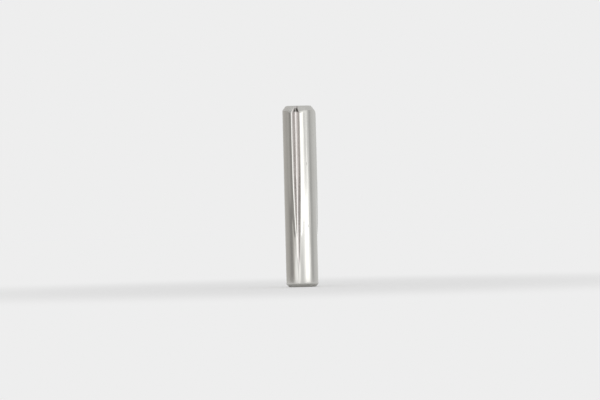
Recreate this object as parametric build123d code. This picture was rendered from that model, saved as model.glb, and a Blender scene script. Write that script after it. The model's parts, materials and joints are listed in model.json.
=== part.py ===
from build123d import *

import math
import os

# A grooved pin, made from one piece of bright drawn steel rod. The rod is cut to length, its ends are chamfered
# and tumbled, and three dies are then pressed into its side. Each die leaves a long groove of rounded V section,
# deepest at the head end and running out to nothing near the tail, and pushes up a lip along each side of it. The
# lips keep their height down to about the pin's middle and then sink away. The plain tail guides the pin into a
# drilled hole of the rod's own size, and the springy lips then wedge in it.
#
# The pin stands on its tail end: +Z runs up its axis, and the origin is the centre of the tail's end face.
# All sizes are in millimetres and all angles in degrees.

# Rod
pin_diameter = 3.969  # 5/32 inch stock
pin_length = 22.225  # 7/8 inch

# Ends. Each chamfer has a length along the axis and a depth in from the rod's surface, and its shoulder is
# where it meets that surface. The head end is tumbled rounder than the tail.
head_chamfer_length = 0.55
head_chamfer_depth = 0.42
head_shoulder_radius = 0.30
tail_chamfer_length = 0.42
tail_chamfer_depth = 0.36
tail_shoulder_radius = 0.20
end_edge_radius = 0.12  # where a chamfer meets its end face

# Grooves
groove_count = 3
groove_depth = 0.36  # below the rod's surface, where a groove is deepest
groove_angle = 84  # between a groove's two flanks
groove_root_radius = 0.20  # along the bottom of a groove
first_groove_angle = -100.7  # round the axis from +X
pilot_length = 2.2  # plain length at the tail, below the grooves
mouth_length = 0.55  # of the stretch at the head end where a groove turns in over the chamfer
mouth_radius = 0.80  # of that turn, along the bottom of a groove

# Lips
lip_height = 0.165  # above the rod's surface, at the edge of a groove where it is deepest
lip_spread = 0.60  # from that edge out to the lip's foot
lip_setback = 0.03  # of a lip's end behind the rod's chamfer
lip_full_length = 7.5  # from where the groove turns in, down to where its lips begin to sink
lip_run_out = 8.5  # over which the lips then sink into the rod's surface

# How far a die's body reaches past the metal that it shapes
overrun = 0.6

pin_radius = pin_diameter / 2
head_face_radius = pin_radius - head_chamfer_depth
half_angle = math.radians(groove_angle / 2)

# The deepest section of a groove, in the plane where its mouth begins, with X pointing out of the pin
mouth_z = pin_length - mouth_length
root_x = pin_radius - groove_depth
flanks_meet_x = root_x - groove_root_radius * (1 / math.sin(half_angle) - 1)
crest_radius = pin_radius + lip_height


def mitre_y(x: float) -> float:
    """Half the width between the flanks of a groove's deepest section, at a distance x from the axis."""
    return (x - flanks_meet_x) * math.tan(half_angle)


def run_out_radius(height: float, length: float) -> float:
    """Radius of the long arc that starts level with the axis and has moved by height at the given length."""
    return (length**2 + height**2) / (2 * height)


def blank() -> Part:
    """The rod before the grooves are pressed: a cylinder with rounded chamfers at both ends."""
    tail_edge = (pin_radius - tail_chamfer_depth, 0)
    tail_shoulder = (pin_radius, tail_chamfer_length)
    head_shoulder = (pin_radius, pin_length - head_chamfer_length)
    head_edge = (head_face_radius, pin_length)
    corners = (tail_edge, tail_shoulder, head_shoulder, head_edge)
    radii = (end_edge_radius, tail_shoulder_radius, head_shoulder_radius, end_edge_radius)

    half_section = make_face(Polyline((0, 0), *corners, (0, pin_length), close=True))
    for corner, radius in zip(corners, radii):
        half_section = fillet(half_section.vertices().sort_by_distance(corner)[0], radius)
    return revolve(Plane.XZ * half_section, Axis.Z)


def groove_die() -> Part:
    """The body that one die presses out of the rod: a long arc, and a short one that turns in at the head end."""
    outer_x = crest_radius + overrun
    outer_y = mitre_y(outer_x)
    triangle = Polyline((flanks_meet_x, 0), (outer_x, -outer_y), (outer_x, outer_y), close=True)
    section = Plane.XY.offset(mouth_z) * make_face(triangle)
    section = fillet(section.vertices().sort_by(Axis.X)[0], groove_root_radius)

    length = mouth_z - pilot_length
    radius = run_out_radius(groove_depth, length)
    long_axis = Axis((root_x + radius, 0, mouth_z), (0, 1, 0))
    long_turn = math.degrees(math.asin((length + overrun) / radius))
    mouth_axis = Axis((root_x - mouth_radius, 0, mouth_z), (0, -1, 0))
    mouth_turn = 60
    return revolve(section, long_axis, -long_turn) + revolve(section, mouth_axis, mouth_turn)


def lip_ridge() -> Part:
    """The metal that rises round one groove: a low ridge of round section, straight and then sinking in an arc.

    The groove splits the ridge into its two lips.
    """
    crest_angle = half_angle - math.asin(flanks_meet_x * math.sin(half_angle) / crest_radius)
    crest_x = crest_radius * math.cos(crest_angle)
    crest_y = crest_radius * math.sin(crest_angle)
    foot_y = crest_y + lip_spread
    foot_x = math.sqrt(pin_radius**2 - foot_y**2)
    back = ThreePointArc((foot_x, -foot_y), (crest_x, crest_y), (foot_x, foot_y))
    centre_x = back.arc_center.X
    crown_x = centre_x + back.radius
    sinking_z = mouth_z - lip_full_length
    section = Plane.XY.offset(sinking_z) * Pos(centre_x, 0) * Circle(back.radius)

    radius = run_out_radius(crown_x - pin_radius, lip_run_out)
    axis = Axis((crown_x - radius, 0, sinking_z), (0, 1, 0))
    turn = math.degrees(math.asin((lip_run_out + overrun) / radius))
    straight = extrude(section, pin_length + overrun - sinking_z)
    return straight + revolve(section, axis, turn)


def lip_room() -> Part:
    """A cone that trims the lips' ends to the slope of the head's chamfer, a little behind it."""
    height = pin_length - lip_setback
    base_radius = head_face_radius + height * head_chamfer_depth / head_chamfer_length
    return Cone(base_radius, head_face_radius, height, align=(Align.CENTER, Align.CENTER, Align.MIN))


def around_pin(piece: Part) -> list[Part]:
    """Copies of one groove's piece, spaced evenly round the pin."""
    return [place * piece for place in PolarLocations(0, groove_count, first_groove_angle)]


def grooved_pin() -> Part:
    """The whole pin: the blank, the ridges that rise on it, and the grooves that split them."""
    ridges = [ridge & lip_room() for ridge in around_pin(lip_ridge())]
    return blank() + ridges - around_pin(groove_die())


os.makedirs("parts", exist_ok=True)
export_step(grooved_pin(), "parts/grooved_pin.step")
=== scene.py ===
"""A swaged grooved pin of bright steel, standing on its tail end in a pale light tent.

The pin is one piece. Its mesh is laid out in columns that follow the grooves and rows that follow the
turned outline, so that the rounded lips, the groove roots and the edges of the chamfers are all real shape.
"""

from __future__ import annotations

import json
import logging
import math
from dataclasses import dataclass
from enum import Enum

import bmesh
import bpy
import numpy as np
from mathutils import Matrix, Vector


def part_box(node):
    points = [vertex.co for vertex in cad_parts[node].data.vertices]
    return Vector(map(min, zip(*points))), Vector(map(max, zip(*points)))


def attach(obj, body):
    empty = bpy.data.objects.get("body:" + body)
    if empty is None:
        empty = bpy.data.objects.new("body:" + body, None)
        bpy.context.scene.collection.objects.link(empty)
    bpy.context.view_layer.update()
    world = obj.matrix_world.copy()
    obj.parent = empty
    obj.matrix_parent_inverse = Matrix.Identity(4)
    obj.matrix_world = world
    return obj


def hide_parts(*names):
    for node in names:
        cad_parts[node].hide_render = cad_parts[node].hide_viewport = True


LOG = logging.getLogger("grooved_pin")
MM = 0.001
# The mesh's layer of dark cover: a dark line along each groove, a painted dark reflection and painted shade
# in each groove's mouth, and a painted reflection of the shaded floor on the tail's chamfer.
DARK_COVER_LAYER = "residue"

# The Mix node's sockets share their names, so they are told apart by number.
FACTOR, NUMBER_A, NUMBER_B, COLOUR_A, COLOUR_B, COLOUR_OUT = 0, 2, 3, 6, 7, 2

Tree = bpy.types.NodeTree
Socket = bpy.types.NodeSocket
Table = tuple[tuple[float, float], ...]

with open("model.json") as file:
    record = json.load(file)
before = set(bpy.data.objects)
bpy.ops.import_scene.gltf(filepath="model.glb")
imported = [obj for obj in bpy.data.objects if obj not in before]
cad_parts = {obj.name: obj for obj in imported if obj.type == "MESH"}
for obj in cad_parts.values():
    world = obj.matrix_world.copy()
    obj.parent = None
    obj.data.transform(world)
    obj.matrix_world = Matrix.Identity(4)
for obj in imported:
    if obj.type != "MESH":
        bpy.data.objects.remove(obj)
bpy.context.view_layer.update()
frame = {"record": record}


# ---------------------------------------------------------------------------------------------------------
# Shader helpers
# ---------------------------------------------------------------------------------------------------------


def linear(hex_colour: str) -> tuple[float, float, float, float]:
    """Turn an sRGB colour such as "#c8c4be" into the linear values that a shader takes.

    Args:
        hex_colour: the colour as a hash sign and six hexadecimal digits.

    Returns:
        Red, green, blue and an alpha of one.
    """
    channels = [int(hex_colour[i : i + 2], 16) / 255 for i in (1, 3, 5)]
    values = [c / 12.92 if c <= 0.04045 else ((c + 0.055) / 1.055) ** 2.4 for c in channels]
    return values[0], values[1], values[2], 1.0


def add_node(tree: Tree, kind: str, inputs: dict | None = None, **settings: object) -> bpy.types.Node:
    """Add one node to a tree.

    Args:
        tree: the node tree of a material or a world.
        kind: the node's Blender type, such as "ShaderNodeMath".
        inputs: socket name or number, to a value or to the output socket that feeds it.
        settings: the node's own properties.

    Returns:
        The new node.
    """
    node = tree.nodes.new(kind)
    for name, value in settings.items():
        setattr(node, name, value)
    for key, value in (inputs or {}).items():
        if isinstance(value, Socket):
            tree.links.new(value, node.inputs[key])
        else:
            node.inputs[key].default_value = value
    return node


def empty_tree(owner: bpy.types.Material | bpy.types.World) -> Tree:
    """Turn on a material's or a world's nodes, and clear them.

    Args:
        owner: the material or the world.

    Returns:
        Its node tree, with nothing in it.
    """
    owner.use_nodes = True
    owner.node_tree.nodes.clear()
    return owner.node_tree


# ---------------------------------------------------------------------------------------------------------
# The pin's form
# ---------------------------------------------------------------------------------------------------------


class Zone(Enum):
    """The surfaces of the pin that are finished in different ways, by the number of their material."""

    DRAWN = 0
    PRESSED = 1
    TURNED = 2


def blend_low(a: np.ndarray, b: np.ndarray, width: float) -> np.ndarray:
    """The lower of two surfaces, with the corner between them rounded over the given difference."""
    share = np.clip(width - np.abs(a - b), 0, None) / width
    return np.minimum(a, b) - share * share * width / 4


def blend_high(a: np.ndarray, b: np.ndarray, width: float) -> np.ndarray:
    """The higher of two surfaces, with the corner between them filled in the same way."""
    return -blend_low(-a, -b, width)


def look_up(table: Table, place: np.ndarray) -> np.ndarray:
    """Read a table of places and values, on straight lines between its entries."""
    places, values = zip(*table)
    return np.interp(place, places, values)


def patch(place: np.ndarray, centre: float, half_width: float, fade: float) -> np.ndarray:
    """One within half_width of the centre, falling to nothing over the fade's width beyond."""
    return np.clip((half_width + fade - np.abs(place - centre)) / fade, 0, 1)


def rounded(before: tuple, corner: tuple, after: tuple, radius: float, spans: int) -> list[tuple]:
    """Points along the arc that rounds a corner of an outline.

    Args:
        before: the outline's point before the corner.
        corner: the corner itself.
        after: the outline's point after the corner.
        radius: the arc's radius.
        spans: how many spans the arc has.

    Returns:
        The arc's points, in the outline's order.
    """
    at = Vector(corner)
    back, on = (Vector(before) - at).normalized(), (Vector(after) - at).normalized()
    half = back.angle(on) / 2
    centre = at + (back + on).normalized() * radius / math.sin(half)
    start = at + back * radius / math.tan(half) - centre
    end = at + on * radius / math.tan(half) - centre
    turn = math.atan2(start.x * end.y - start.y * end.x, start.dot(end))
    arc = [centre + Matrix.Rotation(turn * i / spans, 2) @ start for i in range(spans + 1)]
    return [(p.x, p.y) for p in arc]


@dataclass(frozen=True)
class PinForm:
    """The pin's sizes in millimetres and degrees, and the surfaces that follow from them.

    Heights are above the tail's end face. In the methods, an angle round the axis is in radians and is
    counted from a groove's middle.
    """

    radius: float
    length: float

    # The ends
    head_chamfer_length: float = 0.55
    head_chamfer_depth: float = 0.42
    head_shoulder_radius: float = 0.30
    tail_chamfer_length: float = 0.37
    tail_chamfer_depth: float = 0.35
    tail_shoulder_radius: float = 0.16
    end_edge_radius: float = 0.12

    # The grooves
    groove_count: int = 3
    groove_depth: float = 0.36
    groove_angle: float = 84.0
    root_radius: float = 0.20
    first_groove: float = -100.7
    pilot_length: float = 2.2
    mouth_length: float = 0.55
    mouth_radius: float = 0.80
    die_reach: float = 26.0

    # The lips beside them
    lip_height: float = 0.148
    lip_spread: float = 0.60
    lip_setback: float = 0.03
    lip_full_length: float = 8.0
    lip_run_out: float = 6.0
    crest_blend: float = 0.12
    foot_blend: float = 0.05

    # The thin burr that stays at a groove's edge where the lips have sunk, with its height by place
    burr_spread: float = 0.32
    burr_sharpness: float = 1.3
    burr_heights: Table = (
        (1.8, 0.0), (4.0, 0.030), (6.1, 0.045), (6.9, 0.160), (7.8, 0.180), (9.2, 0.120), (10.3, 0.060),
        (13.0, 0.025), (20.5, 0.012), (21.4, 0.0),
    )

    # Where the searches for a groove's surface and for its edge look, and how often they halve the stretch
    surface_from: float = 0.3
    surface_to: float = 4.0
    surface_halvings: int = 36
    edge_least: float = 0.7
    edge_most: float = 25.0
    edge_halvings: int = 30

    @property
    def mouth_z(self) -> float:
        """Height at which the grooves are deepest and begin to turn in over the head."""
        return self.length - self.mouth_length

    @property
    def root_x(self) -> float:
        """Distance of a groove's bottom from the axis, at its deepest."""
        return self.radius - self.groove_depth

    @property
    def half_angle(self) -> float:
        """Angle between a groove's flank and its middle plane, in radians."""
        return math.radians(self.groove_angle / 2)

    @property
    def flanks_meet_x(self) -> float:
        """Where the two flanks would meet if the root were sharp."""
        return self.root_x - self.root_radius * (1 / math.sin(self.half_angle) - 1)

    def run_out_radius(self, height: float, length: float) -> float:
        """Radius of the long arc that has moved by height at the given length."""
        return (length**2 + height**2) / (2 * height)

    def die_x(self, y: np.ndarray, z: np.ndarray) -> np.ndarray:
        """Distance from the axis of the surface that the die leaves.

        Args:
            y: distance to the side of the groove's middle plane.
            z: height of the place.

        Returns:
            The groove's surface, measured along its middle plane's direction.
        """
        rounding = self.root_radius
        arc = self.root_x + rounding - np.sqrt(np.clip(rounding**2 - y**2, 0, None))
        flank = self.flanks_meet_x + np.abs(y) / math.tan(self.half_angle)
        section = np.where(np.abs(y) < rounding * math.cos(self.half_angle), arc, flank)
        rise = z - self.mouth_z
        far = self.root_x + self.run_out_radius(self.groove_depth, self.mouth_z - self.pilot_length)
        near = self.root_x - self.mouth_radius
        long_arc = far - np.sqrt((far - section) ** 2 - rise**2)
        turned_in = near + np.sqrt(np.clip((section - near) ** 2 - rise**2, 0, None))
        return np.where(rise > 0, turned_in, long_arc)

    def groove_radius(self, angle: np.ndarray, z: np.ndarray) -> np.ndarray:
        """Distance of the groove's surface from the axis.

        Args:
            angle: angle round the axis.
            z: height of the place.

        Returns:
            The radius of the groove's surface, or one well outside the pin beyond the reach of the die.
        """
        low, high = np.full_like(angle, self.surface_from), np.full_like(angle, self.surface_to)
        for _ in range(self.surface_halvings):
            middle = (low + high) / 2
            inside = middle * np.cos(angle) < self.die_x(middle * np.sin(angle), z)
            low, high = np.where(inside, middle, low), np.where(inside, high, middle)
        return np.where(np.abs(angle) < math.radians(self.die_reach), low, self.surface_to)

    def ridge_circle(self) -> tuple[float, float]:
        """Find the round section of the metal that rises at a groove.

        Returns:
            The distance of the circle's centre from the axis, and its radius.
        """
        crest = self.radius + self.lip_height
        turn = self.half_angle - math.asin(self.flanks_meet_x * math.sin(self.half_angle) / crest)
        crest_x, crest_y = crest * math.cos(turn), crest * math.sin(turn)
        foot_y = crest_y + self.lip_spread
        foot_x = math.sqrt(self.radius**2 - foot_y**2)
        centre = (crest**2 - self.radius**2) / (2 * (crest_x - foot_x))
        return centre, math.hypot(crest_x - centre, crest_y)

    def ridge_radius(self, angle: np.ndarray, z: np.ndarray) -> np.ndarray:
        """Distance of the raised metal's surface from the axis, trimmed behind the head's chamfer.

        Args:
            angle: angle round the axis.
            z: height of the place.

        Returns:
            The radius of the ridge's back.
        """
        centre, ridge = self.ridge_circle()
        arc = self.run_out_radius(centre + ridge - self.radius, self.lip_run_out)
        below = np.clip(self.mouth_z - self.lip_full_length - z, 0, None)
        middle = centre - arc + np.sqrt(np.clip(arc**2 - below**2, 0, None))
        back = middle * np.cos(angle) + np.sqrt(np.clip(ridge**2 - (middle * np.sin(angle)) ** 2, 0, None))
        slope = self.head_chamfer_depth / self.head_chamfer_length
        trim = self.radius - self.head_chamfer_depth + (self.length - self.lip_setback - z) * slope
        return blend_low(back, trim, self.foot_blend)

    def body_radius(self, angle: np.ndarray, outline: np.ndarray, z: np.ndarray) -> np.ndarray:
        """Radius of the rod and its raised metal, before the groove is taken out."""
        return blend_high(outline, self.ridge_radius(angle, z), self.foot_blend)

    def burr(self, angle: np.ndarray, crest: np.ndarray, z: np.ndarray) -> np.ndarray:
        """Height of the burr above the metal round it.

        Args:
            angle: angle round the axis.
            crest: angle of the groove's edge.
            z: height of the place.

        Returns:
            The burr's height, which is nothing away from the groove's edge.
        """
        beside = np.clip(1 - np.abs(np.abs(angle) - crest) * self.radius / self.burr_spread, 0, None)
        return look_up(self.burr_heights, z) * beside**self.burr_sharpness

    def crest_angle(self, outline: np.ndarray, z: np.ndarray, on_face: np.ndarray) -> np.ndarray:
        """Angle from a groove's middle to its edge at each row.

        Args:
            outline: the blank's radius at each row.
            z: height of each row.
            on_face: whether each row lies on an end face.

        Returns:
            The angle, never so small that a row's columns run together.
        """
        low, high = np.zeros_like(z), np.full_like(z, math.radians(self.edge_most))
        for _ in range(self.edge_halvings):
            half = (low + high) / 2
            body = np.where(on_face, outline, self.body_radius(half, outline, z))
            inside = self.groove_radius(half, z) < body
            low, high = np.where(inside, half, low), np.where(inside, high, half)
        return np.maximum(low, math.radians(self.edge_least))


@dataclass(frozen=True)
class DarkLineAndPaintedShade:
    """Where the pin is dark, with sizes in millimetres.

    A dark line runs along one flank of each groove, the anticlockwise one seen from above. Two spots in each
    groove's mouth are a painted dark reflection and painted shade, and a thin darkening on the tail's
    chamfer is a painted reflection of the shaded floor at the pin's foot. Places across a groove are shares
    of the way from its middle to its edge, and the tables are pairs of height and share.
    """

    line_cover: Table = ((3.0, 0.0), (5.0, 0.30), (8.0, 0.50), (14.0, 0.60), (17.0, 0.50), (21.3, 0.50))
    line_inner_edge: Table = ((5.0, -0.3), (9.0, -0.1), (14.0, 0.55), (17.0, 0.50))
    line_outer_edge: Table = ((14.0, 1.0), (17.0, 0.92))
    line_inner_fade: float = 0.15
    line_outer_fade: float = 0.10
    # Painted dark reflection and painted shade: two dark spots in each groove's mouth.
    mouth_reflection_above_mouth: float = 0.03
    mouth_reflection_half_height: float = 0.15
    mouth_reflection_height_fade: float = 0.15
    mouth_reflection_across: float = 0.34
    mouth_reflection_half_width: float = 0.24
    mouth_reflection_width_fade: float = 0.15
    # Painted reflection of the shaded floor at the pin's foot: a thin darkening on the tail's chamfer.
    chamfer_shade_cover: float = 0.20
    chamfer_shade_above_chamfer: float = 0.05
    chamfer_shade_upper_fade: float = 0.08
    chamfer_shade_lower_fade: float = 0.05

    def cover(self, form: PinForm, angle: np.ndarray, crest: np.ndarray, z: np.ndarray) -> np.ndarray:
        """Share of the surface that is dark: the line, the painted reflections in the mouths and the painted
        shade on the tail's chamfer.

        Args:
            form: the pin's form.
            angle: angle round the axis.
            crest: angle of the groove's edge.
            z: height of the place.

        Returns:
            A share from none to one.
        """
        across = angle / crest
        line = look_up(self.line_cover, z)
        line = line * np.clip((across - look_up(self.line_inner_edge, z)) / self.line_inner_fade, 0, 1)
        line = line * np.clip((look_up(self.line_outer_edge, z) - across) / self.line_outer_fade, 0, 1)
        # The painted dark reflection and painted shade in the groove's mouth.
        mouth_reflection_z = form.mouth_z + self.mouth_reflection_above_mouth
        mouth_reflection = patch(z, mouth_reflection_z, self.mouth_reflection_half_height, self.mouth_reflection_height_fade)
        mouth_reflection = mouth_reflection * patch(np.abs(across), self.mouth_reflection_across, self.mouth_reflection_half_width, self.mouth_reflection_width_fade)
        # The painted reflection of the shaded floor on the tail's chamfer.
        chamfer_shade_z = form.tail_chamfer_length + self.chamfer_shade_above_chamfer
        dark_cover = self.chamfer_shade_cover * np.clip((chamfer_shade_z - z) / self.chamfer_shade_upper_fade, 0, 1)
        dark_cover = dark_cover * np.clip(z / self.chamfer_shade_lower_fade, 0, 1)
        return np.maximum(np.maximum(line, mouth_reflection), dark_cover)


# ---------------------------------------------------------------------------------------------------------
# The pin's mesh
# ---------------------------------------------------------------------------------------------------------


@dataclass
class PinMesh:
    """Builds and dresses the pin's mesh: one third of the way round, three times.

    Lengths are in millimetres. The spans across a groove and its lip are for one side of its middle.
    """

    form: PinForm
    residue: DarkLineAndPaintedShade
    name: str = "grooved_pin_steel"

    # Columns, from a groove's middle outwards
    groove_spans: int = 14
    lip_spans: int = 14
    plain_spans: int = 14
    lip_foot: float = 34.0
    lip_crowding: float = 1.6

    # Rows, from the middle of an end face outwards and then along the side
    face_middle: float = 0.2
    face_even_to: float = 1.2
    face_even_rows: int = 6
    face_close_from: float = 1.24
    face_close_rows: int = 9
    edge_spans: int = 6
    slope_spans: int = 9
    shoulder_spans: int = 10
    shallow_length: float = 2.5
    shallow_rows: int = 34
    deep_rows: int = 96

    # Cleaning
    weld_reach: float = 0.002
    sliver: float = 0.0005
    sharp_angle: float = 38.0

    def end_outline(self, chamfer: float, depth: float, shoulder: float) -> tuple[list, int]:
        """The half outline of one end, from near its middle to the end of the rounding at its shoulder.

        Args:
            chamfer: the chamfer's length along the pin.
            depth: the chamfer's depth towards the axis.
            shoulder: radius of the rounding where the chamfer meets the side.

        Returns:
            Pairs of radius and distance from the end, and how many of them lie on the end face.
        """
        form = self.form
        bottom, side = (form.radius - depth, 0.0), (form.radius, chamfer)
        edge = rounded((0.0, 0.0), bottom, side, form.end_edge_radius, self.edge_spans)
        turn = rounded(bottom, side, (form.radius, form.length), shoulder, self.shoulder_spans)
        (r0, z0), (r1, z1) = edge[-1], turn[0]
        shares = np.linspace(0, 1, self.slope_spans + 1)[1:-1]
        slope = [(r0 + (r1 - r0) * t, z0 + (z1 - z0) * t) for t in shares]
        even = np.linspace(self.face_middle, self.face_even_to, self.face_even_rows)
        close = np.linspace(self.face_close_from, edge[0][0], self.face_close_rows)[:-1]
        face = [(r, 0.0) for r in (*even, *close)]
        return face + edge + slope + turn, len(face)

    def outline(self) -> tuple[np.ndarray, np.ndarray, np.ndarray]:
        """The blank's half outline, from the middle of the tail's face up to the middle of the head's.

        Returns:
            The outline's radii, its heights, and for each point whether it lies on an end face.
        """
        form = self.form
        tail, on_tail = self.end_outline(
            form.tail_chamfer_length, form.tail_chamfer_depth, form.tail_shoulder_radius
        )
        head, on_head = self.end_outline(
            form.head_chamfer_length, form.head_chamfer_depth, form.head_shoulder_radius
        )
        low, high = tail[-1][1], form.length - head[-1][1]
        turn = form.pilot_length + self.shallow_length
        shallow = np.linspace(low, turn, self.shallow_rows)[1:]
        deep = np.linspace(turn, high, self.deep_rows)[1:-1]
        side = [(form.radius, z) for z in (*shallow, *deep)]
        points = tail + side + [(r, form.length - z) for r, z in reversed(head)]
        on_face = [i < on_tail or i >= len(points) - on_head for i in range(len(points))]
        return np.array([p[0] for p in points]), np.array([p[1] for p in points]), np.array(on_face)

    def columns(self, crest: np.ndarray) -> tuple[np.ndarray, tuple[int, int]]:
        """Angles of one third's columns at every row, and which columns lie in the groove.

        Args:
            crest: angle of the groove's edge at every row, as one column.

        Returns:
            The angles, one row of the array for each row of the mesh, and the numbers of the groove's first
            and last column.
        """
        third, foot = math.pi / self.form.groove_count, math.radians(self.lip_foot)
        even = np.linspace(0, 1, self.groove_spans + 1)
        close_ends = ((1 - np.cos(math.pi * even)) / 2)[None, :]
        from_crest = (np.linspace(0, 1, self.lip_spans + 1) ** self.lip_crowding)[None, :]
        plain = np.linspace(0, 1, self.plain_spans + 1)[None, :]
        parts = [
            (-third + (third - foot) * plain[:, :-1]) * np.ones_like(crest),
            -(crest + (foot - crest) * from_crest)[:, :0:-1],
            -crest * (1 - close_ends[:, :-1]),
            crest * close_ends,
            (crest + (foot - crest) * from_crest)[:, 1:],
            (foot + (third - foot) * plain[:, 1:-1]) * np.ones_like(crest),
        ]
        first = parts[0].shape[1] + parts[1].shape[1]
        return np.hstack(parts), (first, first + 2 * self.groove_spans)

    def zone(self, z: float, above: float, in_groove: bool, on_face: bool) -> Zone:
        """How the surface between two rows is finished.

        Args:
            z: the lower row's height.
            above: the upper row's height.
            in_groove: whether the place lies between a groove's edges.
            on_face: whether both rows lie on an end face.

        Returns:
            The zone.
        """
        form = self.form
        if in_groove and form.pilot_length < z and not on_face:
            return Zone.PRESSED
        if form.tail_chamfer_length < (z + above) / 2 < form.length - form.head_chamfer_length:
            return Zone.DRAWN
        return Zone.TURNED

    def skin(
        self, z: np.ndarray, on_face: np.ndarray, per_third: int, groove: tuple[int, int]
    ) -> tuple[list[tuple[int, ...]], list[int]]:
        """Lay out the mesh's faces.

        Args:
            z: height of each row.
            on_face: whether each row lies on an end face.
            per_third: how many columns one third has.
            groove: the numbers of the groove's first and last column in its third.

        Returns:
            The faces as numbers of their points, and the number of each face's material. The two points
            after the last row's are the middles of the tail's and the head's end faces.
        """
        columns, rows = per_third * self.form.groove_count, len(z)
        tail, head, last = rows * columns, rows * columns + 1, (rows - 1) * columns
        beside = [(column + 1) % columns for column in range(columns)]
        faces, materials = [], []
        for row in range(rows - 1):
            low, high = row * columns, (row + 1) * columns
            both_on_face = on_face[row] and on_face[row + 1]
            for column, on in enumerate(beside):
                faces.append((low + column, low + on, high + on, high + column))
                in_groove = groove[0] <= column % per_third < groove[1]
                materials.append(self.zone(z[row], z[row + 1], in_groove, both_on_face).value)
        for column, on in enumerate(beside):
            faces += [(on, column, tail), (last + column, last + on, head)]
            materials += [Zone.TURNED.value, Zone.TURNED.value]
        return faces, materials

    def build(self) -> bpy.types.Object:
        """Make the mesh object.

        Returns:
            The pin as one closed mesh, in metres, with a material number for each face and the dark cover at
            each point: the dark line, painted reflections and painted shade.
        """
        form = self.form
        outline, z, on_face = self.outline()
        crest = form.crest_angle(outline, z, on_face)[:, None]
        angles, groove = self.columns(crest)
        per_third = angles.shape[1]
        heights = np.repeat(z[:, None], per_third, axis=1)
        blank = np.repeat(outline[:, None], per_third, axis=1)
        face = on_face[:, None]
        raised = form.body_radius(angles, blank, heights) + form.burr(angles, crest, heights)
        body = np.where(face, blank, raised)
        cut = form.groove_radius(angles, heights)
        radii = np.where(face, np.minimum(body, cut), blend_low(body, cut, form.crest_blend))

        count = form.groove_count
        turns = [math.radians(form.first_groove + 360 / count * i) for i in range(count)]
        around = np.concatenate([angles + turn for turn in turns], axis=1)
        reach, up = np.tile(radii, count), np.tile(heights, count)
        points = np.stack([reach * np.cos(around), reach * np.sin(around), up], axis=-1) * MM
        vertices = [tuple(p) for p in points.reshape(-1, 3)]
        vertices += [(0.0, 0.0, 0.0), (0.0, 0.0, form.length * MM)]
        faces, materials = self.skin(z, on_face, per_third, groove)

        mesh = bpy.data.meshes.new(self.name)
        mesh.from_pydata(vertices, [], faces)
        mesh.polygons.foreach_set("material_index", materials)
        # The dark cover is partly painted reflection and painted shade, besides the dark line.
        cover = np.tile(self.residue.cover(form, angles, crest, heights), count).ravel()
        layer = mesh.attributes.new(DARK_COVER_LAYER, "FLOAT", "POINT")
        layer.data.foreach_set("value", np.append(cover, (0.0, 0.0)))
        mesh.update()
        piece = bpy.data.objects.new(self.name, mesh)
        bpy.context.scene.collection.objects.link(piece)
        self.weld(piece)
        return piece

    def weld(self, piece: bpy.types.Object) -> None:
        """Join the points that fall together where a groove cuts an end face, and smooth the surface.

        Args:
            piece: the pin.
        """
        work = bmesh.new()
        work.from_mesh(piece.data)
        bmesh.ops.remove_doubles(work, verts=work.verts, dist=self.weld_reach * MM)
        bmesh.ops.dissolve_degenerate(work, edges=work.edges, dist=self.sliver * MM)
        bmesh.ops.recalc_face_normals(work, faces=work.faces)
        work.to_mesh(piece.data)
        work.free()
        piece.data.shade_smooth()
        piece.data.set_sharp_from_angle(angle=math.radians(self.sharp_angle))

    def dress(self, piece: bpy.types.Object, finishes: dict[Zone, SteelFinish]) -> None:
        """Give the pin its materials.

        Args:
            piece: the pin.
            finishes: the finish of each zone.
        """
        for zone in Zone:
            piece.data.materials.append(finishes[zone].build())


# ---------------------------------------------------------------------------------------------------------
# Finishes
# ---------------------------------------------------------------------------------------------------------


class Marks(Enum):
    """The ways in which the tool's marks run over the steel."""

    ALONG_THE_ROD = "along the rod"
    ROUND_THE_AXIS = "round the axis"


@dataclass(frozen=True)
class Nick:
    """A small dent on the rod's side. Its azimuth is in degrees from the front, its sizes in millimetres."""

    azimuth: float
    height: float
    width: float
    length: float


NICKS = (
    Nick(27.0, 15.10, 0.12, 0.45),
    Nick(27.9, 7.45, 0.18, 0.30),
    Nick(9.7, 7.88, 0.08, 0.14),
    Nick(-35.3, 3.05, 0.10, 0.30),
    Nick(4.6, 1.73, 0.09, 0.12),
    Nick(61.0, 18.60, 0.09, 0.30),
    Nick(118.0, 5.90, 0.12, 0.24),
    Nick(171.0, 11.40, 0.10, 0.35),
    Nick(-122.0, 16.20, 0.12, 0.20),
    Nick(-148.0, 4.10, 0.10, 0.26),
)


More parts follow.
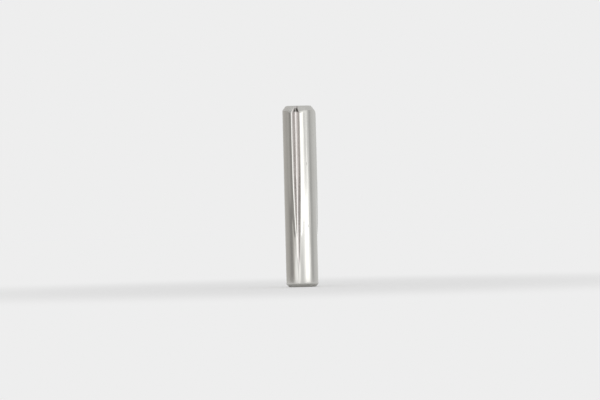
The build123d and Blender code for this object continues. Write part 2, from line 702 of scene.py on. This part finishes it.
@dataclass(frozen=True)
class SteelFinish:
    """Bright carbon steel with the marks that its making leaves, with sizes in millimetres.

    Bare steel mirrors what is round it, a little darker and a little warmer than it is. Its tone drifts by a
    few per cent over patches of a few millimetres. A dark line along each groove, painted dark reflections,
    painted shade and residue in the nicks dull it to black.
    """

    name: str
    rod_radius: float
    light: str = "#d6d5d1"
    dark: str = "#cdccc7"
    tone_patch: float = 2.5
    roughness: float = 0.08
    roughness_spread: float = 0.04

    # Roughness rises by its spread over this stretch of the fine marks' height.
    worn_between: tuple[float, float] = (0.3, 0.7)

    # How far the marks bend what the steel mirrors, and how deep a mark of full height is
    marks: Marks = Marks.ALONG_THE_ROD
    mark_strength: float = 0.20
    mark_depth: float = 0.02

    # Drawing lines are a few micrometres wide. They are drawn coarser than that, so that they show.
    line_width: float = 0.05
    line_length: float = 9.0
    streak_width: float = 0.20
    streak_length: float = 4.5
    broad_share: float = 3.0

    # Turning leaves rings a few hundredths of a millimetre apart, which are drawn coarser too.
    ring_width: float = 0.07
    broad_ring_width: float = 0.21

    # Tumbling leaves shallow pits, which are drawn wider than they are for the same reason.
    pit_width: float = 0.25
    pit_share: float = 0.3

    # The dark cover, which is the dark line, painted reflections and painted shade, thins to its least over
    # a stretch of the pits' height. A nick fades out between two multiples of its half size, and holds some
    # residue.
    residue: str = "#2e2d22"
    residue_and_shade_roughness: float = 0.45
    residue_and_shade_least: float = 0.6
    gaps_between: tuple[float, float] = (0.3, 0.6)
    nicks: tuple[Nick, ...] = ()
    nick_edge: tuple[float, float] = (1.3, 0.5)
    nick_depth: float = 1.2
    nick_soil: float = 0.25

    def lines(self, tree: Tree, place: Socket, width: float, length: float) -> Socket:
        """Add lines that run along the rod.

        Args:
            tree: the material's node tree.
            place: object coordinates.
            width: a line's usual width.
            length: a line's usual length.

        Returns:
            Their height, from none to one.
        """
        across, along = 1 / (width * MM), 1 / (length * MM)
        at = add_node(tree, "ShaderNodeMapping", {"Vector": place, "Scale": (across, across, along)})
        noise = {"Vector": at.outputs[0], "Scale": 1.0, "Detail": 3.0, "Roughness": 0.6}
        return add_node(tree, "ShaderNodeTexNoise", noise).outputs["Fac"]

    def rings(self, tree: Tree, place: Socket, width: float) -> Socket:
        """Add rings that run round the axis.

        Args:
            tree: the material's node tree.
            place: object coordinates.
            width: a ring's usual width.

        Returns:
            Their height, from none to one.
        """
        parts = add_node(tree, "ShaderNodeSeparateXYZ", {"Vector": place})
        flat = add_node(tree, "ShaderNodeCombineXYZ", {"X": parts.outputs["X"], "Y": parts.outputs["Y"]})
        away = add_node(tree, "ShaderNodeVectorMath", {0: flat.outputs[0]}, operation="LENGTH")
        section = {"X": away.outputs["Value"], "Z": parts.outputs["Z"]}
        at = add_node(tree, "ShaderNodeCombineXYZ", section)
        noise = {"Vector": at.outputs[0], "Scale": 1 / (width * MM), "Detail": 2.0}
        return add_node(tree, "ShaderNodeTexNoise", noise).outputs["Fac"]

    def tool_marks(self, tree: Tree, place: Socket) -> tuple[Socket, Socket]:
        """Add the marks of the tool that made the surface.

        Args:
            tree: the material's node tree.
            place: object coordinates.

        Returns:
            The heights of the fine marks and of the broad ones, from none to one.
        """
        if self.marks is Marks.ROUND_THE_AXIS:
            return self.rings(tree, place, self.ring_width), self.rings(tree, place, self.broad_ring_width)
        fine = self.lines(tree, place, self.line_width, self.line_length)
        return fine, self.lines(tree, place, self.streak_width, self.streak_length)

    def dents(self, tree: Tree, place: Socket) -> Socket | float:
        """Add the nicks as soft spots.

        Args:
            tree: the material's node tree.
            place: object coordinates.

        Returns:
            Their strength, from none to one, or zero where the finish has no nicks.
        """
        strength = 0.0
        for nick in self.nicks:
            turn, reach = math.radians(nick.azimuth - 90), self.rod_radius * MM
            at = (math.cos(turn) * reach, math.sin(turn) * reach, nick.height * MM)
            shares = (2 / (nick.width * MM), 2 / (nick.width * MM), 2 / (nick.length * MM))
            away = add_node(tree, "ShaderNodeVectorMath", {0: place, 1: at}, operation="SUBTRACT")
            halves = {0: away.outputs[0], 1: shares}
            scaled = add_node(tree, "ShaderNodeVectorMath", halves, operation="MULTIPLY")
            far = add_node(tree, "ShaderNodeVectorMath", {0: scaled.outputs[0]}, operation="LENGTH")
            fading = {
                "Value": far.outputs["Value"],
                "From Min": self.nick_edge[0],
                "From Max": self.nick_edge[1],
            }
            spot = add_node(tree, "ShaderNodeMapRange", fading)
            either = {0: strength, 1: spot.outputs[0]}
            strength = add_node(tree, "ShaderNodeMath", either, operation="MAXIMUM").outputs[0]
        return strength

    def soil_and_painted_shade(self, tree: Tree, pits: Socket, dents: Socket | float) -> Socket:
        """Add the share of the surface that the dark cover takes: the dark line, painted reflections,
        painted shade and residue in the nicks.

        Args:
            tree: the material's node tree.
            pits: height of the fine pits, which break the residue up.
            dents: strength of the nicks, which hold some of it.

        Returns:
            The share, from none to one.
        """
        dark_cover = add_node(tree, "ShaderNodeAttribute", attribute_name=DARK_COVER_LAYER)
        gaps = {
            "Value": pits,
            "From Min": self.gaps_between[0],
            "From Max": self.gaps_between[1],
            "To Min": self.residue_and_shade_least,
        }
        patchy = add_node(tree, "ShaderNodeMapRange", gaps)
        both = {0: dark_cover.outputs["Fac"], 1: patchy.outputs[0]}
        cover = add_node(tree, "ShaderNodeMath", both, operation="MULTIPLY")
        soiled_and_shaded = {0: dents, 1: self.nick_soil, 2: cover.outputs[0]}
        return add_node(tree, "ShaderNodeMath", soiled_and_shaded, operation="MULTIPLY_ADD").outputs[0]

    def colour(self, tree: Tree, place: Socket, soil_and_painted_shade: Socket) -> Socket:
        """Add the surface's colour.

        Args:
            tree: the material's node tree.
            place: object coordinates.
            soil_and_painted_shade: share of the surface that the dark cover takes, painted shade included.

        Returns:
            The steel's drifting tone, darkened where the dark cover lies: the dark line, painted
            reflections, painted shade and residue in the nicks.
        """
        patches = {"Vector": place, "Scale": 1 / (self.tone_patch * MM), "Detail": 4.0}
        cloud = add_node(tree, "ShaderNodeTexNoise", patches).outputs["Fac"]
        tones = {FACTOR: cloud, COLOUR_A: linear(self.light), COLOUR_B: linear(self.dark)}
        tone = add_node(tree, "ShaderNodeMix", tones, data_type="RGBA").outputs[COLOUR_OUT]
        soiled_and_shaded = {FACTOR: soil_and_painted_shade, COLOUR_A: tone, COLOUR_B: linear(self.residue)}
        return add_node(tree, "ShaderNodeMix", soiled_and_shaded, data_type="RGBA").outputs[COLOUR_OUT]

    def dullness(self, tree: Tree, fine: Socket, soil_and_painted_shade: Socket) -> Socket:
        """Add the surface's roughness.

        Args:
            tree: the material's node tree.
            fine: height of the fine marks.
            soil_and_painted_shade: share of the surface that the dark cover takes, painted shade included.

        Returns:
            The steel's roughness, a little more on the fine marks and much more where the dark cover lies.
        """
        worn = {
            "Value": fine,
            "From Min": self.worn_between[0],
            "From Max": self.worn_between[1],
            "To Min": self.roughness,
            "To Max": self.roughness + self.roughness_spread,
        }
        rough = add_node(tree, "ShaderNodeMapRange", worn).outputs[0]
        soiled_and_shaded = {FACTOR: soil_and_painted_shade, NUMBER_A: rough, NUMBER_B: self.residue_and_shade_roughness}
        return add_node(tree, "ShaderNodeMix", soiled_and_shaded, data_type="FLOAT").outputs[0]

    def build(self) -> bpy.types.Material:
        """Make the material."""
        material = bpy.data.materials.new(self.name)
        tree = empty_tree(material)
        place = add_node(tree, "ShaderNodeTexCoord").outputs["Object"]
        fine, broad = self.tool_marks(tree, place)
        pitting = {"Vector": place, "Scale": 1 / (self.pit_width * MM), "Detail": 3.0}
        pits = add_node(tree, "ShaderNodeTexNoise", pitting).outputs["Fac"]
        dents = self.dents(tree, place)
        soil_and_painted_shade = self.soil_and_painted_shade(tree, pits, dents)

        height = fine
        shares = ((broad, self.broad_share), (pits, self.pit_share), (dents, -self.nick_depth))
        for layer, share in shares:
            summed = {0: layer, 1: share, 2: height}
            height = add_node(tree, "ShaderNodeMath", summed, operation="MULTIPLY_ADD").outputs[0]
        relief = {"Height": height, "Strength": self.mark_strength, "Distance": self.mark_depth * MM}
        steel = {
            "Base Color": self.colour(tree, place, soil_and_painted_shade),
            "Metallic": 1.0,
            "Roughness": self.dullness(tree, fine, soil_and_painted_shade),
            "Normal": add_node(tree, "ShaderNodeBump", relief).outputs[0],
        }
        shader = add_node(tree, "ShaderNodeBsdfPrincipled", steel)
        add_node(tree, "ShaderNodeOutputMaterial", {"Surface": shader.outputs[0]})
        return material


# ---------------------------------------------------------------------------------------------------------
# Studio
# ---------------------------------------------------------------------------------------------------------


@dataclass(frozen=True)
class LightTent:
    """A small tent of white cloth round the pin, lit from outside, which the steel mirrors.

    Levels are given by azimuth in degrees, from the front and counted to the right. The lower levels hold
    near the floor and the upper ones near the pin's head, with a soft slanted edge between. Above the pin
    the cloth is lit more evenly, and on the left it is a little warm.
    """

    lower: Table
    upper: Table
    name: str = "light_tent"
    radius_mm: float = 30.0
    bottom_mm: float = -1.0
    top_mm: float = 52.0
    panels: int = 180
    gain: float = 1.9
    slant_mm_per_deg: float = 0.2
    edge_low_mm: float = 0.0
    edge_high_mm: float = 8.0
    even_level: float = 0.70
    even_share: float = 0.6
    even_low_mm: float = 26.0
    even_high_mm: float = 30.0
    warm_from: float = -141.0
    warm_to: float = -54.0
    warmth: float = 0.03

    def levels(self, tree: Tree, turn: Socket, table: Table) -> Socket:
        """Add the light of the cloth at each azimuth.

        Args:
            tree: the tent material's node tree.
            turn: the azimuth as a share of a full turn, from behind.
            table: pairs of azimuth and level.

        Returns:
            The light's colour, as a share of the gain.
        """
        node = add_node(tree, "ShaderNodeValToRGB", {"Fac": turn})
        stops = node.color_ramp.elements
        while len(stops) < len(table):
            stops.new(0.5)
        for stop, (azimuth, _) in zip(stops, table):
            stop.position = (azimuth + 180) / 360
        for stop, (azimuth, level) in zip(stops, table):
            warmth = self.warmth if self.warm_from <= azimuth <= self.warm_to else 0.0
            stop.color = tuple(level / self.gain * share for share in (1 + warmth, 1.0, 1 - warmth)) + (1.0,)
        return node.outputs["Color"]

    def cloth(self) -> bpy.types.Material:
        """Make the glowing cloth.

        White cotton lit through has no gloss, and its weave is too fine to show in what the steel mirrors.
        It is a plain glow.
        """
        material = bpy.data.materials.new("lit_tent_cloth")
        tree = empty_tree(material)
        place = add_node(tree, "ShaderNodeTexCoord")
        parts = add_node(tree, "ShaderNodeSeparateXYZ", {"Vector": place.outputs["Object"]})
        front = add_node(tree, "ShaderNodeMath", {0: parts.outputs["Y"], 1: -1.0}, operation="MULTIPLY")
        sides = {0: parts.outputs["X"], 1: front.outputs[0]}
        azimuth = add_node(tree, "ShaderNodeMath", sides, operation="ARCTAN2").outputs[0]
        turned = {0: azimuth, 1: 1 / math.tau, 2: 0.5}
        turn = add_node(tree, "ShaderNodeMath", turned, operation="MULTIPLY_ADD").outputs[0]

        slanted = {0: azimuth, 1: -math.degrees(self.slant_mm_per_deg * MM), 2: parts.outputs["Z"]}
        above = add_node(tree, "ShaderNodeMath", slanted, operation="MULTIPLY_ADD").outputs[0]
        edge = {"Value": above, "From Min": self.edge_low_mm * MM, "From Max": self.edge_high_mm * MM}
        rise = add_node(tree, "ShaderNodeMapRange", edge, interpolation_type="SMOOTHSTEP").outputs[0]
        lower, upper = self.levels(tree, turn, self.lower), self.levels(tree, turn, self.upper)
        both = {FACTOR: rise, COLOUR_A: lower, COLOUR_B: upper}
        round_the_pin = add_node(tree, "ShaderNodeMix", both, data_type="RGBA").outputs[COLOUR_OUT]

        overhead = {
            "Value": parts.outputs["Z"],
            "From Min": self.even_low_mm * MM,
            "From Max": self.even_high_mm * MM,
            "To Max": self.even_share,
        }
        share = add_node(tree, "ShaderNodeMapRange", overhead, interpolation_type="SMOOTHSTEP").outputs[0]
        even = (self.even_level / self.gain,) * 3 + (1.0,)
        evened = {FACTOR: share, COLOUR_A: round_the_pin, COLOUR_B: even}
        lit = add_node(tree, "ShaderNodeMix", evened, data_type="RGBA").outputs[COLOUR_OUT]
        glow = add_node(tree, "ShaderNodeEmission", {"Color": lit, "Strength": self.gain})
        add_node(tree, "ShaderNodeOutputMaterial", {"Surface": glow.outputs[0]})
        return material

    def build(self) -> bpy.types.Object:
        """Set up the tent's wall, which neither the camera nor the floor sees."""
        ring = [math.tau * i / self.panels for i in range(self.panels)]
        reach, heights = self.radius_mm * MM, (self.bottom_mm * MM, self.top_mm * MM)
        vertices = [(math.cos(a) * reach, math.sin(a) * reach, z) for z in heights for a in ring]
        beside = [(i + 1) % self.panels for i in range(self.panels)]
        faces = [(i, on, self.panels + on, self.panels + i) for i, on in enumerate(beside)]
        mesh = bpy.data.meshes.new(self.name)
        mesh.from_pydata(vertices, [], faces)
        mesh.materials.append(self.cloth())
        tent = bpy.data.objects.new(self.name, mesh)
        bpy.context.scene.collection.objects.link(tent)
        tent.visible_camera = tent.visible_diffuse = tent.visible_shadow = False
        return tent


# The tent's levels by azimuth. The lower and the upper ones differ only in front and on the right.
BEHIND_AND_LEFT = (
    (-180, 1.40), (-169, 1.40), (-161, 0.72), (-150, 0.66), (-141, 0.61), (-129, 0.57), (-117, 0.54),
    (-105, 0.53), (-96, 0.49), (-87, 0.40), (-80, 0.34), (-70, 0.32), (-62, 0.40), (-54, 0.75),
    (-45, 1.15), (-36, 1.34), (-24, 1.30), (-12, 1.08),
)
LOWER_LEVELS = BEHIND_AND_LEFT + (
    (-3, 0.80), (9, 0.88), (22, 1.35), (30, 1.80), (50, 1.80), (58, 1.35), (65, 0.86), (73, 0.64),
    (81, 0.49), (91, 0.62), (105, 0.71), (150, 0.77), (161, 0.80), (169, 1.40),
)
UPPER_LEVELS = BEHIND_AND_LEFT + (
    (-3, 1.20), (9, 1.30), (22, 1.50), (28, 1.80), (40, 1.75), (52, 1.55), (57, 0.98), (62, 0.86),
    (73, 0.62), (81, 0.49), (91, 0.62), (105, 0.71), (150, 0.77), (169, 1.40),
)


@dataclass(frozen=True)
class Studio:
    """The pale floor, the even surround and the camera."""

    pin_height_mm: float

    # The surround dims towards the top, between two heights of a direction of length one.
    surround: str = "#eeeeee"
    top_level: float = 0.85
    dims_between: tuple[float, float] = (0.45, 0.75)

    # The floor's paper passes into the surround between two distances from the pin, but for a trace that
    # keeps it one surface.
    paper: str = "#fbfbfb"
    paper_roughness: float = 0.9
    paper_from_mm: float = 20.0
    paper_to_mm: float = 80.0
    surround_share: float = 0.998
    floor_radius_mm: float = 900.0
    floor_sides: int = 96

    # The camera
    distance_mm: float = 550.0
    view_width_mm: float = 73.7
    sensor_mm: float = 36.0
    aim_right_mm: float = -0.055
    aim_up_mm: float = -0.45
    roll: float = -1.38
    clip_m: tuple[float, float] = (0.01, 5.0)

    def light_surround(self) -> None:
        """Light the scene evenly from all round, a little less from above."""
        world = bpy.data.worlds.new("pale_surround")
        tree = empty_tree(world)
        direction = add_node(tree, "ShaderNodeTexCoord")
        parts = add_node(tree, "ShaderNodeSeparateXYZ", {"Vector": direction.outputs["Generated"]})
        dimming = {
            "Value": parts.outputs["Z"],
            "From Min": self.dims_between[0],
            "From Max": self.dims_between[1],
            "To Min": 1.0,
            "To Max": self.top_level,
        }
        level = add_node(tree, "ShaderNodeMapRange", dimming, interpolation_type="SMOOTHSTEP")
        light = {"Color": linear(self.surround), "Strength": level.outputs[0]}
        glow = add_node(tree, "ShaderNodeBackground", light)
        add_node(tree, "ShaderNodeOutputWorld", {"Surface": glow.outputs[0]})
        bpy.context.scene.world = world

    def floor_paper(self) -> bpy.types.Material:
        """Make the floor's material.

        Uncoated white paper is matt and shows no gloss. Far from the pin it glows like the surround, so that
        it has no hard edge, only a soft band where it ends.
        """
        material = bpy.data.materials.new("matt_white_paper")
        tree = empty_tree(material)
        place = add_node(tree, "ShaderNodeTexCoord")
        away = add_node(tree, "ShaderNodeVectorMath", {0: place.outputs["Object"]}, operation="LENGTH")
        fading = {
            "Value": away.outputs["Value"],
            "From Min": self.paper_from_mm * MM,
            "From Max": self.paper_to_mm * MM,
            "To Max": self.surround_share,
        }
        fade = add_node(tree, "ShaderNodeMapRange", fading, interpolation_type="SMOOTHSTEP")
        matt = {
            "Base Color": linear(self.paper),
            "Roughness": self.paper_roughness,
            "Specular IOR Level": 0.0,
        }
        near = add_node(tree, "ShaderNodeBsdfPrincipled", matt)
        far = add_node(tree, "ShaderNodeEmission", {"Color": linear(self.surround)})
        both = {0: fade.outputs[0], 1: near.outputs[0], 2: far.outputs[0]}
        mixed = add_node(tree, "ShaderNodeMixShader", both)
        add_node(tree, "ShaderNodeOutputMaterial", {"Surface": mixed.outputs[0]})
        return material

    def lay_floor(self) -> bpy.types.Object:
        """Lay the pale paper that the pin stands on."""
        ring = [math.tau * i / self.floor_sides for i in range(self.floor_sides)]
        reach = self.floor_radius_mm * MM
        rim = [(math.cos(a) * reach, math.sin(a) * reach, 0.0) for a in ring]
        mesh = bpy.data.meshes.new("floor")
        mesh.from_pydata(rim, [], [tuple(range(self.floor_sides))])
        mesh.materials.append(self.floor_paper())
        floor = bpy.data.objects.new("floor", mesh)
        bpy.context.scene.collection.objects.link(floor)
        return floor

    def place_camera(self) -> bpy.types.Object:
        """Aim a long lens level near the pin's middle, from the front, and roll it a little."""
        data = bpy.data.cameras.new("camera")
        data.sensor_width = self.sensor_mm
        data.lens = self.sensor_mm * self.distance_mm / self.view_width_mm
        data.clip_start, data.clip_end = self.clip_m
        camera = bpy.data.objects.new("camera", data)
        height = self.pin_height_mm / 2 + self.aim_up_mm
        camera.location = Vector((self.aim_right_mm, -self.distance_mm, height)) * MM
        level = Matrix.Rotation(math.radians(90), 4, "X")
        camera.rotation_euler = (level @ Matrix.Rotation(math.radians(self.roll), 4, "Z")).to_euler()
        bpy.context.scene.collection.objects.link(camera)
        bpy.context.scene.camera = camera
        return camera


def steel_finishes(rod_radius: float) -> dict[Zone, SteelFinish]:
    """Describe the three ways in which the pin's one steel is finished.

    Args:
        rod_radius: the rod's radius in millimetres.

    Returns:
        The finish of each zone.
    """
    return {
        # Cold drawn and tumbled: a clear mirror, drawn out along the rod by fine lines, with a few nicks.
        Zone.DRAWN: SteelFinish("bright_drawn_steel", rod_radius, nicks=NICKS),
        # Burnished under the die: a mirror like the rod's, a little softer and warmer.
        Zone.PRESSED: SteelFinish(
            "pressed_steel", rod_radius, light="#d8d4d2", dark="#cfcbc8", roughness=0.12
        ),
        # Turned and tumbled: satin, with faint rings that spread what it mirrors.
        Zone.TURNED: SteelFinish(
            "turned_steel", rod_radius, roughness=0.26, mark_strength=0.8, marks=Marks.ROUND_THE_AXIS
        ),
    }


def main() -> None:
    """Build the pin and its studio."""
    logging.basicConfig(level=logging.INFO, format="%(name)s: %(message)s")
    low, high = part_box("grooved_pin")
    shank = next(m for m in frame["record"]["mounts"] if m["name"] == "shank")
    form = PinForm(radius=shank["dims"]["r_mm"], length=(high[2] - low[2]) / MM)
    maker = PinMesh(form, DarkLineAndPaintedShade())
    pin = maker.build()
    maker.dress(pin, steel_finishes(form.radius))
    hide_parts("grooved_pin")
    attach(pin, "root")
    LOG.info("%s: %d faces", pin.name, len(pin.data.polygons))

    studio = Studio(pin_height_mm=form.length)
    studio.light_surround()
    floor = studio.lay_floor()
    LOG.info("%s: %.0f mm in radius", floor.name, studio.floor_radius_mm)
    tent = LightTent(LOWER_LEVELS, UPPER_LEVELS).build()
    LOG.info("%s: %d panels", tent.name, len(tent.data.polygons))
    studio.place_camera()
    bpy.context.scene.view_settings.view_transform = "Standard"


if __name__ == "__main__":
    main()
